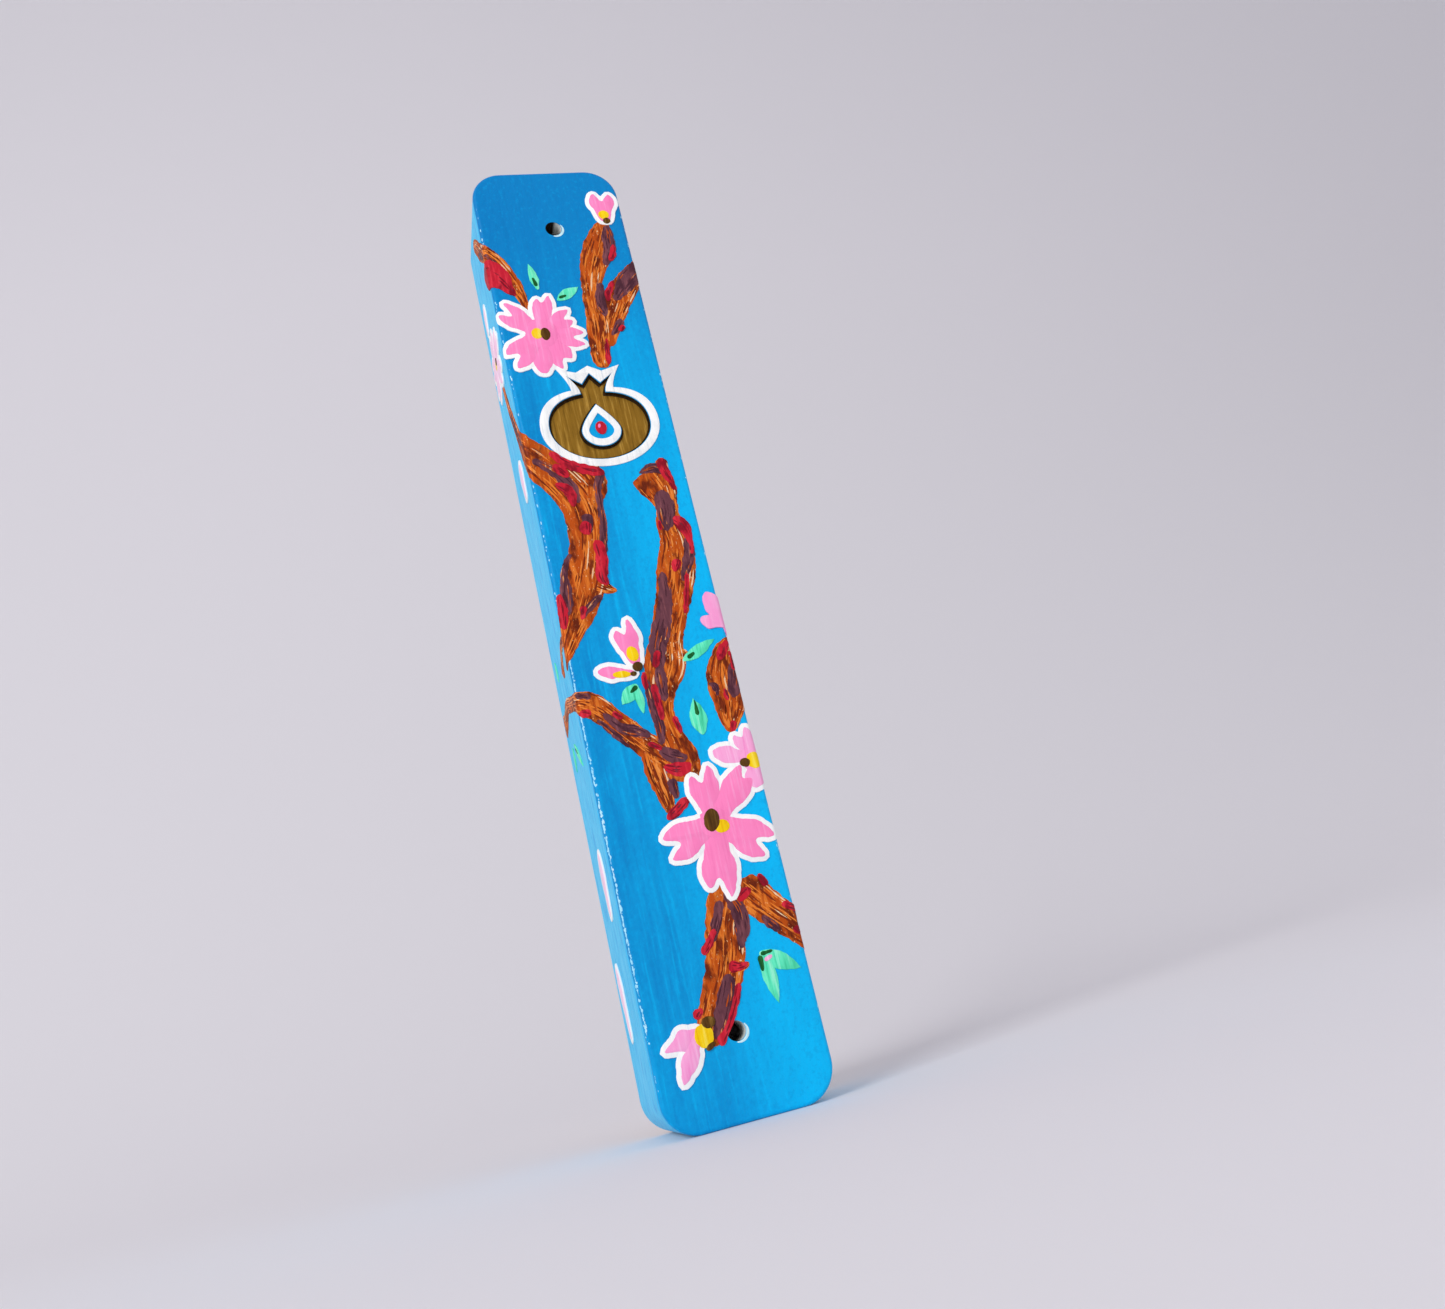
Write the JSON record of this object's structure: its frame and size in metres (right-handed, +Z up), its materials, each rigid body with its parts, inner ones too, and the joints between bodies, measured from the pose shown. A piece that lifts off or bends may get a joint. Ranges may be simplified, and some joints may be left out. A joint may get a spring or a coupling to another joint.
{
  "type": "mezuzah case",
  "caption": "Upright painted wooden mezuzah case with rounded corners, nail holes near its ends, a shallow gold emblem, and a covered channel in the back for a rolled parchment.",
  "frame": {"origin": "middle of the wooden block, which is the whole object's box", "axes": "+Z up the block's length as it hangs, +Y out of its back towards the doorpost, +X to the right seen from the painted front"},
  "size_m": [0.02, 0.014, 0.126],
  "materials": {
    "blue_paint": "hand-brushed satin acrylic paint over wood, bare wood on the back",
    "cover_wood": "sanded bare wood",
    "parchment": "matte scraped parchment",
    "clear_film": "clear thin film",
    "outline_white": "thick white acrylic brush line",
    "petal_pink": "pink acrylic brushwork",
    "bark_copper": "copper-orange acrylic with metallic flecks",
    "bark_plum": "plum-brown acrylic brushwork",
    "bark_crimson": "crimson acrylic brushwork",
    "leaf_mint": "mint acrylic brushwork",
    "leaf_dark": "dark green acrylic dabs",
    "stamen_yellow": "yellow acrylic dabs",
    "stamen_brown": "brown acrylic dabs",
    "emblem_gold": "metallic gold paint over engraved wood"
  },
  "bodies": {
    "case": {"case_body": "blue_paint"},
    "cover": {"back_cover": "cover_wood"},
    "roll": {"scroll": "parchment", "scroll_sleeve": "clear_film"}
  },
  "joints": [
    {"name": "cover_lift", "type": "slide", "parent": "case", "child": "cover", "axis": [0, 1, 0], "range_m": [0, 0.044]},
    {"name": "scroll_draw", "type": "slide", "parent": "case", "child": "roll", "axis": [0, 1, 0], "range_m": [0, 0.022]}
  ],
  "couplings": [
    {"joint": "scroll_draw", "follows": "cover_lift", "ratio": 0.5}
  ]
}
